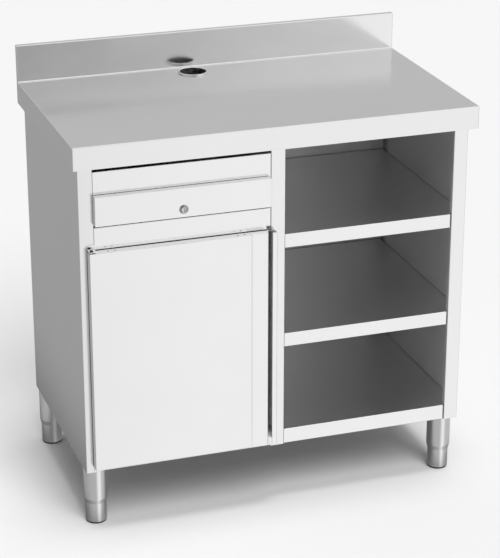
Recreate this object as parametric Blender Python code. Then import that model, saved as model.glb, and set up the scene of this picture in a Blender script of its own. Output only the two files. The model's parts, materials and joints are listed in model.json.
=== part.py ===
"""Stainless steel coffee machine counter with a drawer, a cupboard door and open shelves.

Metres, +Z up, front towards -Y. The origin lies on the floor under the middle of the worktop.
"""

import math

import bmesh
import bpy
from mathutils import Matrix, Vector

# Overall sizes
WORKTOP_WIDTH = 1.070
WORKTOP_DEPTH = 0.600
WORKTOP_HEIGHT = 1.050
WORKTOP_EDGE = 0.060
UPSTAND_HEIGHT = 0.100
UPSTAND_DEPTH = 0.015
SIDE_OVERHANG = 0.0165
FRONT_OVERHANG = 0.026
BACK_OVERHANG = 0.006
LEG_HEIGHT = 0.160

# Sheet metal
TOP_SHEET = 0.0015
SHEET = 0.0012
BRACKET_SHEET = 0.002
FOLD_RADIUS = 0.0012
TIGHT_FOLD = 0.0003
FRONT_EDGE = 0.0012
FIT = 0.0003
RIM = 0.012
EDGE_RETURN = 0.010
STIFFENER_WIDTH = 0.060
STIFFENER_FLANGE = 0.025
STIFFENER_DEPTH = 0.030

# Hole for pipes and cables
COLLAR_BORE = 0.071
COLLAR_WALL = 0.0035
COLLAR_RISE = 0.0045
COLLAR_DROP = 0.010
COLLAR_LEFT_OF_CENTRE = 0.0674
COLLAR_FROM_UPSTAND = 0.0581

# Cabinet
STILE_WIDTH = 0.038
STILE_RETURN = 0.015
TOP_FLANGE = 0.025
BOTTOM_FLANGE = 0.070
PARTITION_FLANGE = 0.020

# Shelves
SHELF_PITCH = 0.275
SHELF_APRON = 0.038
BASE_APRON = 0.042
BASE_LIFT = 0.0015
SHELF_FLANGE = 0.025
SHELF_END_GAP = 0.004
SHELF_SIDE_GAP = 0.0015

# Left bay fronts
SLOT_DEPTH = 0.015
UPPER_RAIL_SHOWN = 0.0598
DRAWER_FRONT_HEIGHT = 0.0765
MIDDLE_RAIL_SHOWN = 0.067
DOOR_LIFT = 0.0177
RAIL_BEHIND_DRAWER_TOP = 0.008
RAIL_BELOW_DRAWER = 0.0088
RAIL_BEHIND_DOOR = 0.011
RAIL_END_GAP = 0.0012

# Drawer
DRAWER_PROUD = 0.020
DRAWER_OVER_LEFT_STILE = 0.001
DRAWER_SHORT_OF_PARTITION = 0.0045
DRAWER_FRONT_GAP = 0.002
TRAY_CLEARANCE = 0.002
TRAY_LIFT = 0.004
TRAY_LENGTH = 0.440
RUNNER_LENGTH = 0.430
RUNNER_HEIGHT = 0.045
RUNNER_WIDTH = 0.0127
RUNNER_SETBACK = 0.006
RUNNER_PLAY = 0.0004
RUNNER_OUTER_FLANGE = 0.007
RUNNER_MIDDLE_WEB = 0.0081
RUNNER_INNER_HEIGHT = 0.030

# Lock
LOCK_ABOVE_DRAWER_BOTTOM = 0.021
LOCK_LEFT_OF_MIDDLE = 0.002
LOCK_BEZEL_DIAMETER = 0.024
LOCK_BEZEL_RISE = 0.002
LOCK_BARREL_DIAMETER = 0.019
LOCK_PLUG_DIAMETER = 0.012
LOCK_BARREL_LENGTH = 0.0236
LOCK_NUT_ACROSS_FLATS = 0.022
LOCK_NUT_THICKNESS = 0.0035
LOCK_TANG = 0.008
LOCK_CAM_THICKNESS = 0.0025
LOCK_CAM_WIDTH = 0.014
LOCK_CAM_HOLD = 0.006
CAM_CLEARANCE = 0.002
LOCK_SCREW_DIAMETER = 0.010
LOCK_SCREW_HEAD = 0.002
KEYWAY_WIDTH = 0.0016
KEYWAY_HEIGHT = 0.0075
KEYWAY_DEPTH = 0.006

# Door
DOOR_THICKNESS = 0.022
DOOR_OVER_LEFT_STILE = 0.019
DOOR_OVER_PARTITION = 0.009
HANDLE_STRIP = 0.0443
HANDLE_SLOT = 0.0118
HANDLE_LIP = 0.0125
HANDLE_SEAM = 0.0004
PLUG_HEIGHT = 0.019
VENT_DIAMETER = 0.005
VENT_PITCH = 0.018
VENT_PAIR_FROM_LEFT = 0.059
VENT_PAIR_FROM_SEAM = 0.025

# Door hinges and catch
PIVOT_FROM_LEFT = 0.008
PIVOT_FROM_FRONT = 0.012
HINGE_PIN_DIAMETER = 0.006
HINGE_PIN_HEAD = 0.010
HINGE_PIN_HEAD_RISE = 0.002
HINGE_PIN_REACH = 0.020
BUSH_DIAMETER = 0.010
BUSH_FLANGE_DIAMETER = 0.014
BUSH_FLANGE = 0.0008
BUSH_LENGTH = 0.016
BRACKET_WIDTH = 0.018
BRACKET_RISE = 0.0135
BRACKET_REACH = 0.022
MAGNET_WIDTH = 0.025
MAGNET_DEPTH = 0.030
MAGNET_HEIGHT = 0.040
MAGNET_BELOW_DOOR_TOP = 0.050
KEEPER_THICKNESS = 0.002

# Legs
LEG_DIAMETER = 0.0635
LEG_WALL = 0.0036
LEG_CHAMFER = 0.013
LEG_TUBE_LENGTH = 0.102
LEG_TOP_PLATE = 0.003
LEG_SIDE_INSET = 0.0325
LEG_FRONT_INSET = 0.045
LEG_BACK_INSET = 0.033
STUD_DIAMETER = 0.016
STUD_LENGTH = 0.012
LEG_PLATE_WIDTH = 0.056
LEG_PLATE_THICKNESS = 0.004
FOOT_WALL = 0.0025
FOOT_REACH = 0.045
PAD_HEIGHT = 0.004
PAD_INSET = 0.0012

# How round shapes and folds are divided
LEG_SIDES = 28
COLLAR_SIDES = 40
SMALL_SIDES = 20
HOLE_SIDES = 12
FOLD_STEPS = 3
CUT = 0.005
SMOOTH_ANGLE = math.radians(40.0)

# Planes of the cabinet
CAB_LEFT = SIDE_OVERHANG - WORKTOP_WIDTH / 2
CAB_RIGHT = -CAB_LEFT
CAB_FRONT = FRONT_OVERHANG - WORKTOP_DEPTH / 2
CAB_BACK = WORKTOP_DEPTH / 2 - BACK_OVERHANG
CAB_BOTTOM = LEG_HEIGHT
CAB_TOP = WORKTOP_HEIGHT - TOP_SHEET - FIT
RETURN_BACK = CAB_BACK - SHEET - FIT
INSIDE_BACK = RETURN_BACK - SHEET - FOLD_RADIUS
BEHIND_STILES = CAB_FRONT + STILE_RETURN + FIT
BAY_LEFT = CAB_LEFT + STILE_WIDTH
BAY_RIGHT = -BAY_LEFT
PARTITION_LEFT = -STILE_WIDTH / 2
PARTITION_RIGHT = STILE_WIDTH / 2
UPSTAND_FRONT = WORKTOP_DEPTH / 2 - UPSTAND_DEPTH
BASE_TOP = CAB_BOTTOM + BASE_LIFT + BASE_APRON

# Planes of the fronts in the left bay
DRAWER_FRONT = CAB_FRONT - DRAWER_PROUD
DOOR_FRONT = -WORKTOP_DEPTH / 2
UPPER_RAIL_TOP = WORKTOP_HEIGHT - WORKTOP_EDGE - SLOT_DEPTH
DRAWER_TOP = UPPER_RAIL_TOP - UPPER_RAIL_SHOWN
DRAWER_BOTTOM = DRAWER_TOP - DRAWER_FRONT_HEIGHT
UPPER_RAIL_BOTTOM = DRAWER_TOP - RAIL_BEHIND_DRAWER_TOP
MIDDLE_RAIL_TOP = DRAWER_BOTTOM - RAIL_BELOW_DRAWER
DOOR_TOP = DRAWER_BOTTOM - MIDDLE_RAIL_SHOWN
MIDDLE_RAIL_BOTTOM = DOOR_TOP - RAIL_BEHIND_DOOR
DOOR_BOTTOM = CAB_BOTTOM + DOOR_LIFT
DRAWER_LEFT = BAY_LEFT - DRAWER_OVER_LEFT_STILE
DRAWER_RIGHT = PARTITION_LEFT - DRAWER_SHORT_OF_PARTITION
DRAWER_BACK = CAB_FRONT - DRAWER_FRONT_GAP
TRAY_FRONT = DRAWER_BACK + FIT
TRAY_BACK = TRAY_FRONT + TRAY_LENGTH
TRAY_BOTTOM = DRAWER_BOTTOM + TRAY_LIFT
TRAY_TOP = UPPER_RAIL_BOTTOM - TRAY_CLEARANCE
RUNNER_FACE_LEFT = BAY_LEFT + FIT
RUNNER_FACE_RIGHT = PARTITION_LEFT - FIT
RUNNER_FRONT = CAB_FRONT + RUNNER_SETBACK
RUNNER_BACK = RUNNER_FRONT + RUNNER_LENGTH
RUNNER_MIDDLE = (TRAY_BOTTOM + TRAY_TOP) / 2
TRAY_LEFT = RUNNER_FACE_LEFT + RUNNER_WIDTH + FIT
TRAY_RIGHT = RUNNER_FACE_RIGHT - RUNNER_WIDTH - FIT
LOCK_X = (DRAWER_LEFT + DRAWER_RIGHT) / 2 - LOCK_LEFT_OF_MIDDLE
LOCK_Z = DRAWER_BOTTOM + LOCK_ABOVE_DRAWER_BOTTOM
BARREL_BACK = DRAWER_FRONT + LOCK_BARREL_LENGTH
CAM_FRONT = BARREL_BACK + FIT
CAM_BACK = CAM_FRONT + LOCK_CAM_THICKNESS
CAM_REACH = UPPER_RAIL_BOTTOM + LOCK_CAM_HOLD - LOCK_Z
DOOR_LEFT = BAY_LEFT - DOOR_OVER_LEFT_STILE
DOOR_RIGHT = PARTITION_LEFT + DOOR_OVER_PARTITION
DOOR_BACK = DOOR_FRONT + DOOR_THICKNESS
DOOR_SKIN_BACK = DOOR_BACK - SHEET - FIT
LIP_LEFT = DOOR_RIGHT - HANDLE_LIP
SLOT_LEFT = LIP_LEFT - HANDLE_SLOT
SEAM_X = SLOT_LEFT - HANDLE_STRIP
PIVOT_X = DOOR_LEFT + PIVOT_FROM_LEFT
PIVOT_Y = DOOR_FRONT + PIVOT_FROM_FRONT

# Legs
TUBE_BOTTOM = LEG_HEIGHT - LEG_TUBE_LENGTH
FOOT_RADIUS = LEG_DIAMETER / 2 - LEG_WALL - FIT
FOOT_TOP = TUBE_BOTTOM + FOOT_REACH
LEG_PLACES = {
    "front_left": (CAB_LEFT + LEG_SIDE_INSET, CAB_FRONT + LEG_FRONT_INSET),
    "front_right": (CAB_RIGHT - LEG_SIDE_INSET, CAB_FRONT + LEG_FRONT_INSET),
    "rear_left": (CAB_LEFT + LEG_SIDE_INSET, CAB_BACK - LEG_BACK_INSET),
    "rear_right": (CAB_RIGHT - LEG_SIDE_INSET, CAB_BACK - LEG_BACK_INSET),
}

# Finishes: colour, roughness, metallic
FINISHES = {
    "brushed_steel": ((0.80, 0.80, 0.80), 0.30, 1.0),
    "shelf_steel": ((0.72, 0.72, 0.73), 0.22, 1.0),
    "turned_steel": ((0.74, 0.74, 0.75), 0.22, 1.0),
    "zinc": ((0.66, 0.67, 0.68), 0.38, 1.0),
    "chrome": ((0.86, 0.86, 0.87), 0.10, 1.0),
    "dark_steel": ((0.09, 0.09, 0.095), 0.42, 1.0),
    "pale_plastic": ((0.84, 0.84, 0.83), 0.50, 0.0),
    "nylon": ((0.04, 0.04, 0.04), 0.55, 0.0),
    "black_plastic": ((0.03, 0.03, 0.03), 0.60, 0.0),
    "magnet": ((0.12, 0.12, 0.12), 0.65, 0.0),
}


def clear_scene():
    """Remove every object that the file opened with."""
    for obj in list(bpy.data.objects):
        bpy.data.objects.remove(obj)


def finish_of(name, finish):
    """Make the material of one part from its row of the finish table."""
    colour, roughness, metallic = FINISHES[finish]
    material = bpy.data.materials.new(name + "_finish")
    material.use_nodes = True
    shader = material.node_tree.nodes["Principled BSDF"]
    shader.inputs["Base Color"].default_value = (*colour, 1.0)
    shader.inputs["Roughness"].default_value = roughness
    shader.inputs["Metallic"].default_value = metallic
    return material


def world_place(obj):
    """Place of an unturned object in the scene, summed along its parents."""
    place = Vector(obj.location)
    return place + world_place(obj.parent) if obj.parent else place


def add_axis(name, place, parent=None):
    """Add an empty that marks a joint's axis and carries what moves on it."""
    empty = bpy.data.objects.new(name, None)
    empty.empty_display_size = 0.05
    bpy.context.collection.objects.link(empty)
    empty.parent = parent
    empty.location = Vector(place) - (world_place(parent) if parent else Vector())
    return empty


def add_part(name, mesh, finish, origin=(0.0, 0.0, 0.0), parent=None):
    """Add a mesh that was built in place as a named part with its own origin."""
    mesh.transform(Matrix.Translation(-Vector(origin)))
    mesh.name = name
    mesh.shade_smooth()
    mesh.set_sharp_from_angle(angle=SMOOTH_ANGLE)
    mesh.materials.clear()
    mesh.materials.append(finish_of(name, finish))
    obj = bpy.data.objects.new(name, mesh)
    bpy.context.collection.objects.link(obj)
    obj.parent = parent
    obj.location = Vector(origin) - (world_place(parent) if parent else Vector())
    return obj


def mesh_of(shape):
    """Turn an edited shape into a mesh whose faces point out."""
    bmesh.ops.recalc_face_normals(shape, faces=shape.faces)
    mesh = bpy.data.meshes.new("shape")
    shape.to_mesh(mesh)
    shape.free()
    return mesh


def boxes(*corners):
    """Mesh of one or more separate boxes, each given by its low and high corner."""
    shape = bmesh.new()
    for low, high in corners:
        low, high = Vector(low), Vector(high)
        size = high - low
        matrix = Matrix.Translation((low + high) / 2) @ Matrix.Diagonal((*size, 1.0))
        bmesh.ops.create_cube(shape, size=1.0, matrix=matrix)
    return mesh_of(shape)


def rounded_box(low, high, radius, is_rounded):
    """Box with a radius on each edge whose two end points pass the test."""
    shape = bmesh.new()
    low, high = Vector(low), Vector(high)
    matrix = Matrix.Translation((low + high) / 2) @ Matrix.Diagonal((*(high - low), 1.0))
    bmesh.ops.create_cube(shape, size=1.0, matrix=matrix)
    edges = [edge for edge in shape.edges if is_rounded(*(vert.co for vert in edge.verts))]
    bmesh.ops.bevel(
        shape, geom=edges, offset=radius, segments=FOLD_STEPS, profile=0.5, affect="EDGES", clamp_overlap=True
    )
    return mesh_of(shape)


def arc_points(centre, radius, start, turn, steps):
    """Points along an arc, with their outward directions."""
    found = []
    for step in range(steps + 1):
        angle = start + turn * step / steps
        out = Vector((math.cos(angle), math.sin(angle)))
        found.append((centre + out * radius, out))
    return found


def corner_arc(before, corner, after, radius):
    """Arc that rounds one corner of a path: points, directions and the side the centre is on."""
    way_in = (corner - before).normalized()
    way_out = (after - corner).normalized()
    bend = way_in.x * way_out.y - way_in.y * way_out.x
    side = 1.0 if bend > 0 else -1.0
    turn = math.acos(max(-1.0, min(1.0, way_in.dot(way_out))))
    reach = radius * math.tan(turn / 2)
    normal = Vector((-way_in.y, way_in.x)) * side
    centre = corner - way_in * reach + normal * radius
    start = math.atan2(-normal.y, -normal.x)
    return arc_points(centre, radius, start, side * turn, FOLD_STEPS), side


def offset_path(path, distance):
    """The path moved sideways to its left, with its corners mitred."""
    moved = []
    for index, point in enumerate(path):
        ways = []
        if index > 0:
            ways.append((point - path[index - 1]).normalized())
        if index < len(path) - 1:
            ways.append((path[index + 1] - point).normalized())
        normals = [Vector((-way.y, way.x)) for way in ways]
        middle = sum(normals, Vector((0.0, 0.0))) / len(normals)
        moved.append(point + middle * (distance / middle.length_squared))
    return moved


def folded_outline(face, side, thickness=SHEET, fold=FOLD_RADIUS):
    """Outline of a folded sheet from the path of one face, with the sheet on its left (1) or right (-1)."""
    path = offset_path([Vector(point) for point in face], side * thickness / 2)
    radius = fold + thickness / 2
    left, right = [], []

    def lay(point, normal):
        left.append(point + normal * thickness / 2)
        right.append(point - normal * thickness / 2)

    first = (path[1] - path[0]).normalized()
    lay(path[0], Vector((-first.y, first.x)))
    for before, corner, after in zip(path, path[1:], path[2:]):
        arc, bend = corner_arc(before, corner, after, radius)
        for point, out in arc:
            lay(point, -out * bend)
    last = (path[-1] - path[-2]).normalized()
    lay(path[-1], Vector((-last.y, last.x)))
    return left + right[::-1]


def rounded_outline(corners):
    """Closed outline whose corners, given as (point, radius), are rounded where the radius isn't zero."""
    outline = []
    count = len(corners)
    for index, (point, radius) in enumerate(corners):
        point = Vector(point)
        if not radius:
            outline.append(point)
            continue
        before = Vector(corners[index - 1][0])
        after = Vector(corners[(index + 1) % count][0])
        arc, _ = corner_arc(before, point, after, radius)
        outline.extend(place for place, _ in arc)
    return outline


def prism(outline, axis, low, high):
    """Outline extruded along an axis. Its two coordinates are the other axes, in X, Y, Z order."""
    order = {"X": (2, 0, 1), "Y": (0, 2, 1), "Z": (0, 1, 2)}[axis]
    shape = bmesh.new()

    def at(point, level):
        values = (point[0], point[1], level)
        return Vector(values[place] for place in order)

    start = [shape.verts.new(at(point, low)) for point in outline]
    cap = shape.faces.new(start)
    pushed = bmesh.ops.extrude_face_region(shape, geom=[cap])
    verts = [item for item in pushed["geom"] if isinstance(item, bmesh.types.BMVert)]
    bmesh.ops.translate(shape, verts=verts, vec=at((0.0, 0.0), high) - at((0.0, 0.0), low))
    return mesh_of(shape)


def turned(profile, sides, closed=False):
    """Profile of (radius, height) points turned about Z. A closed profile makes a ring."""
    shape = bmesh.new()
    verts = [shape.verts.new((radius, 0.0, height)) for radius, height in profile]
    pairs = list(zip(verts, verts[1:]))
    if closed:
        pairs.append((verts[-1], verts[0]))
    edges = [shape.edges.new(pair) for pair in pairs]
    bmesh.ops.spin(
        shape, geom=verts + edges, cent=(0, 0, 0), axis=(0, 0, 1), angle=math.tau, steps=sides, use_merge=True
    )
    bmesh.ops.remove_doubles(shape, verts=shape.verts, dist=1e-6)
    return mesh_of(shape)


def upright_rod(place, radius, low, high, sides):
    """Plain round rod along Z."""
    mesh = turned([(0.0, high), (radius, high), (radius, low), (0.0, low)], sides)
    mesh.transform(Matrix.Translation((*place, 0.0)))
    return mesh


def along_y(mesh, place):
    """Lay a shape turned about Z along +Y, through a point given by its X and Z."""
    lay = Matrix.Rotation(math.radians(-90.0), 4, "X")
    mesh.transform(Matrix.Translation((place[0], 0.0, place[1])) @ lay)
    return mesh


def combine(mesh, tool, operation):
    """Result of a Boolean of two closed meshes."""
    base = bpy.data.objects.new("base", mesh)
    other = bpy.data.objects.new("tool", tool)
    bpy.context.collection.objects.link(base)
    bpy.context.collection.objects.link(other)
    modifier = base.modifiers.new("combine", "BOOLEAN")
    modifier.operation = operation
    modifier.solver = "EXACT"
    modifier.object = other
    bpy.context.view_layer.update()
    graph = bpy.context.evaluated_depsgraph_get()
    result = bpy.data.meshes.new_from_object(base.evaluated_get(graph))
    bpy.data.objects.remove(base)
    bpy.data.objects.remove(other)
    return result


def cut(mesh, tool):
    """The mesh with the tool's space taken out."""
    return combine(mesh, tool, "DIFFERENCE")


def join(mesh, tool):
    """The mesh and the tool as one body."""
    return combine(mesh, tool, "UNION")


def mirrored(outline, flip):
    """The outline, turned over left to right where flip is -1."""
    return [Vector((point[0] * flip, point[1])) for point in outline]


def build_worktop():
    """Top sheet with folded front and side edges, a hollow upstand and the hole for the collar."""
    x = WORKTOP_WIDTH / 2
    front, back = -WORKTOP_DEPTH / 2, WORKTOP_DEPTH / 2
    top, low, crest = WORKTOP_HEIGHT, WORKTOP_HEIGHT - WORKTOP_EDGE, WORKTOP_HEIGHT + UPSTAND_HEIGHT
    outer = FOLD_RADIUS + TOP_SHEET
    outline = rounded_outline([
        ((front, low), 0),
        ((front, top), outer),
        ((UPSTAND_FRONT, top), outer),
        ((UPSTAND_FRONT, crest), outer),
        ((back, crest), outer),
        ((back, low), 0),
    ])
    hollow = [
        (front + TOP_SHEET, low - CUT),
        (front + TOP_SHEET, top - TOP_SHEET),
        (UPSTAND_FRONT + TOP_SHEET, top - TOP_SHEET),
        (UPSTAND_FRONT + TOP_SHEET, crest - TOP_SHEET),
        (back - TOP_SHEET, crest - TOP_SHEET),
        (back - TOP_SHEET, low - CUT),
    ]
    mesh = prism(outline, "X", -x, x)
    mesh = cut(mesh, prism(hollow, "X", TOP_SHEET - x, x - TOP_SHEET))
    rear_gap = ((RIM - x, back - CUT, top), (x - RIM, back + CUT, crest - RIM))
    mesh = cut(mesh, boxes(rear_gap))
    half = TOP_SHEET / 2
    left_return = ((half - x, front + half, low), (EDGE_RETURN - x, back - half, low + TOP_SHEET))
    right_return = ((x - EDGE_RETURN, front + half, low), (x - half, back - half, low + TOP_SHEET))
    mesh = join(mesh, boxes(left_return, right_return))
    reach = x - EDGE_RETURN + half
    front_return = ((-reach, front + half, low), (reach, front + EDGE_RETURN, low + TOP_SHEET))
    mesh = join(mesh, boxes(front_return))
    hole = upright_rod(collar_place(), COLLAR_BORE / 2 + COLLAR_WALL + FIT, low, crest, COLLAR_SIDES)
    mesh = cut(mesh, hole)
    add_part("worktop", mesh, "brushed_steel", (0.0, 0.0, top))


def collar_place():
    """Centre of the hole in the worktop."""
    return (-COLLAR_LEFT_OF_CENTRE, UPSTAND_FRONT - COLLAR_FROM_UPSTAND)


def build_collar():
    """Raised ring welded into the hole of the worktop."""
    bore, outside = COLLAR_BORE / 2, COLLAR_BORE / 2 + COLLAR_WALL
    top, low = WORKTOP_HEIGHT + COLLAR_RISE, WORKTOP_HEIGHT - COLLAR_DROP
    lead = COLLAR_WALL / 4
    profile = [
        (bore, low),
        (bore, top - lead),
        (bore + lead, top),
        (outside - lead, top),
        (outside, top - lead),
        (outside, low),
    ]
    mesh = turned(profile, COLLAR_SIDES, closed=True)
    place = (*collar_place(), 0.0)
    mesh.transform(Matrix.Translation(place))
    add_part("cable_collar", mesh, "brushed_steel", (*collar_place(), WORKTOP_HEIGHT))


def build_stiffeners():
    """Hat channels welded under the worktop, one over each bay."""
    half, flange = STIFFENER_WIDTH / 2, STIFFENER_WIDTH / 2 + STIFFENER_FLANGE
    top, low = CAB_TOP, CAB_TOP - STIFFENER_DEPTH
    front, back = BEHIND_STILES, UPSTAND_FRONT - COLLAR_FROM_UPSTAND - COLLAR_BORE
    for name, middle in (
        ("left_worktop_stiffener", (BAY_LEFT + PARTITION_LEFT) / 2),
        ("right_worktop_stiffener", (BAY_RIGHT + PARTITION_RIGHT) / 2),
    ):
        face = [
            (middle - flange, top),
            (middle - half, top),
            (middle - half, low),
            (middle + half, low),
            (middle + half, top),
            (middle + flange, top),
        ]
        mesh = prism(folded_outline(face, -1), "Y", front, back)
        add_part(name, mesh, "brushed_steel", (middle, front, top))


def build_side_panels():
    """Side panels with a front stile, a rear return and flanges for the worktop and the legs."""
    face = [
        (BAY_LEFT, CAB_FRONT + STILE_RETURN),
        (BAY_LEFT, CAB_FRONT),
        (CAB_LEFT, CAB_FRONT),
        (CAB_LEFT, RETURN_BACK),
        (BAY_LEFT, RETURN_BACK),
    ]
    outline = folded_outline(face, -1, fold=TIGHT_FOLD)
    inset = SHEET / 2
    for name, flip in (("left_side_panel", 1), ("right_side_panel", -1)):
        mesh = prism(mirrored(outline, flip), "Z", CAB_BOTTOM, CAB_TOP)
        flanges = []
        for reach, low in ((TOP_FLANGE, CAB_TOP - SHEET), (BOTTOM_FLANGE, CAB_BOTTOM)):
            ends = sorted((flip * (CAB_LEFT + inset), flip * (CAB_LEFT + reach)))
            flanges.append(((ends[0], BEHIND_STILES, low), (ends[1], RETURN_BACK - inset, low + SHEET)))
        mesh = join(mesh, boxes(*flanges))
        for place in LEG_PLACES.values():
            if place[0] * flip < 0:
                mesh = cut(mesh, stud_hole(place))
        add_part(name, mesh, "brushed_steel", (flip * CAB_LEFT, CAB_FRONT, CAB_BOTTOM))


def stud_hole(place):
    """Cutter for the hole that the stud of a leg goes up through."""
    radius = STUD_DIAMETER / 2 + FIT
    return upright_rod(place, radius, CAB_BOTTOM - CUT, CAB_BOTTOM + STUD_LENGTH + CUT, SMALL_SIDES)


def build_partition():
    """Centre panel between the bays, folded with its stile."""
    face = [
        (PARTITION_LEFT + PARTITION_FLANGE, RETURN_BACK),
        (PARTITION_LEFT, RETURN_BACK),
        (PARTITION_LEFT, CAB_FRONT),
        (PARTITION_RIGHT, CAB_FRONT),
        (PARTITION_RIGHT, CAB_FRONT + STILE_RETURN),
    ]
    mesh = prism(folded_outline(face, 1, fold=TIGHT_FOLD), "Z", CAB_BOTTOM, CAB_TOP)
    add_part("centre_partition", mesh, "brushed_steel", (PARTITION_LEFT, CAB_FRONT, CAB_BOTTOM))


def build_back_panel():
    """Flat sheet fixed behind the rear returns of the side panels."""
    low = (CAB_LEFT, CAB_BACK - SHEET, CAB_BOTTOM)
    high = (CAB_RIGHT, CAB_BACK, CAB_TOP)
    add_part("back_panel", boxes((low, high)), "brushed_steel", low)


def build_shelf(name, top, apron, wall_left, apron_left, apron_right, wall_right, finish):
    """Folded shelf: top, front apron with a return, and flanges down on the other sides."""
    back = INSIDE_BACK
    face = [
        (CAB_FRONT + STILE_RETURN, top - apron),
        (CAB_FRONT, top - apron),
        (CAB_FRONT, top),
        (back, top),
        (back, top - SHELF_FLANGE),
    ]
    mesh = prism(folded_outline(face, -1), "X", wall_left, wall_right)
    notches = []
    for low, high in ((wall_left, apron_left), (apron_right, wall_right)):
        if high > low:
            low, high = (low - CUT, high) if low == wall_left else (low, high + CUT)
            notches.append(((low, CAB_FRONT - CUT, top - apron - CUT), (high, BEHIND_STILES, top + CUT)))
    mesh = cut(mesh, boxes(*notches))
    flanges = []
    for low in (wall_left, wall_right - SHEET):
        start = (low, BEHIND_STILES, top - SHELF_FLANGE)
        flanges.append((start, (low + SHEET, back - SHEET / 2, top - SHEET / 2)))
    mesh = join(mesh, boxes(*flanges))
    add_part(name, mesh, finish, (wall_left, CAB_FRONT, top))


def build_shelves():
    """Three shelves in the right bay and the base of the cupboard in the left bay."""
    wall_left = PARTITION_LEFT + SHEET + FIT
    wall_right = CAB_RIGHT - SHEET - SHELF_SIDE_GAP
    apron_left = PARTITION_RIGHT + FIT
    apron_right = BAY_RIGHT - SHELF_END_GAP
    for name, step, apron in (
        ("upper_shelf", 2, SHELF_APRON),
        ("middle_shelf", 1, SHELF_APRON),
        ("lower_shelf", 0, BASE_APRON),
    ):
        top = BASE_TOP + step * SHELF_PITCH
        build_shelf(name, top, apron, wall_left, apron_left, apron_right, wall_right, "shelf_steel")
    left = CAB_LEFT + SHEET + FIT
    right = PARTITION_LEFT - FIT
    build_shelf("cupboard_base", BASE_TOP, BASE_APRON, left, BAY_LEFT + FIT, right, right, "shelf_steel")


def build_rails():
    """Front rails above the drawer and between the drawer and the door."""
    left, right = BAY_LEFT + FIT, PARTITION_LEFT - RAIL_END_GAP
    inside = CAB_FRONT + STILE_RETURN
    for name, top, low in (
        ("upper_front_rail", UPPER_RAIL_TOP, UPPER_RAIL_BOTTOM),
        ("middle_front_rail", MIDDLE_RAIL_TOP, MIDDLE_RAIL_BOTTOM),
    ):
        face = [(inside, top), (CAB_FRONT, top), (CAB_FRONT, low), (inside, low)]
        mesh = prism(folded_outline(face, 1), "X", left, right)
        if name == "upper_front_rail":
            mesh = cut(mesh, cam_notch(low, inside))
        add_part(name, mesh, "brushed_steel", (left, CAB_FRONT, low))


def cam_notch(low, inside):
    """Cutter for the gap in a rail's bottom return that the cam of the lock turns up through."""
    tip = math.hypot(CAM_REACH, LOCK_CAM_WIDTH / 2)
    half = math.sqrt(tip ** 2 - (low - LOCK_Z) ** 2) + CAM_CLEARANCE
    start = (LOCK_X - half, CAM_FRONT - CAM_CLEARANCE, low - CUT)
    return boxes((start, (LOCK_X + half, inside + CUT, low + CUT)))


def lock_hole(front, back):
    """Round cutter for the lock barrel."""
    radius = LOCK_BARREL_DIAMETER / 2 + FIT
    profile = [(0.0, back), (radius, back), (radius, front), (0.0, front)]
    return along_y(turned(profile, SMALL_SIDES), (LOCK_X, LOCK_Z))


def build_drawer(slide):
    """Folded drawer front and the tray fixed behind it."""
    low = (DRAWER_LEFT, DRAWER_FRONT, DRAWER_BOTTOM)
    high = (DRAWER_RIGHT, DRAWER_BACK, DRAWER_TOP)

    def at_front(first, second):
        return max(first.y, second.y) < DRAWER_FRONT + CUT

    mesh = rounded_box(low, high, FRONT_EDGE, at_front)
    inside_low = (DRAWER_LEFT + SHEET, DRAWER_FRONT + SHEET, DRAWER_BOTTOM + SHEET)
    inside_high = (DRAWER_RIGHT - SHEET, DRAWER_BACK + CUT, DRAWER_TOP - SHEET)
    mesh = cut(mesh, boxes((inside_low, inside_high)))
    mesh = cut(mesh, lock_hole(DRAWER_FRONT - CUT, DRAWER_FRONT + CUT))
    add_part("drawer_front", mesh, "brushed_steel", low, slide)

    low = (TRAY_LEFT, TRAY_FRONT, TRAY_BOTTOM)
    high = (TRAY_RIGHT, TRAY_BACK, TRAY_TOP)
    inside_low = tuple(value + SHEET for value in low)
    inside_high = (TRAY_RIGHT - SHEET, TRAY_BACK - SHEET, TRAY_TOP + CUT)
    mesh = cut(boxes((low, high)), boxes((inside_low, inside_high)))
    mesh = cut(mesh, lock_hole(TRAY_FRONT - CUT, TRAY_FRONT + CUT))
    add_part("drawer_tray", mesh, "shelf_steel", low, slide)


def build_runners(slide, left_middle, right_middle):
    """Telescopic runners: an outer member on the cabinet, a middle one and an inner one on the tray."""
    half = RUNNER_HEIGHT / 2
    middle_half = half - SHEET - RUNNER_PLAY
    inner_half = RUNNER_INNER_HEIGHT / 2
    inner_start = RUNNER_MIDDLE_WEB + RUNNER_PLAY
    middle_start = SHEET + RUNNER_PLAY
    members = {
        "outer": (RUNNER_OUTER_FLANGE, 0.0, half, 1),
        "middle": (middle_start, RUNNER_MIDDLE_WEB, middle_half, -1),
        "inner": (inner_start, RUNNER_WIDTH, inner_half, -1),
    }
    for side, start, flip, middle_axis in (
        ("left", RUNNER_FACE_LEFT, 1, left_middle),
        ("right", RUNNER_FACE_RIGHT, -1, right_middle),
    ):
        parents = {"outer": None, "middle": middle_axis, "inner": slide}
        for member, (lip, web, reach, sheet_side) in members.items():
            face = [(lip, reach), (web, reach), (web, -reach), (lip, -reach)]
            outline = mirrored(folded_outline(face, sheet_side), flip)
            placed = [point + Vector((start, RUNNER_MIDDLE)) for point in outline]
            mesh = prism(placed, "Y", RUNNER_FRONT, RUNNER_BACK)
            origin = (start, RUNNER_FRONT, RUNNER_MIDDLE)
            add_part(f"{side}_runner_{member}", mesh, "zinc", origin, parents[member])


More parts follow.
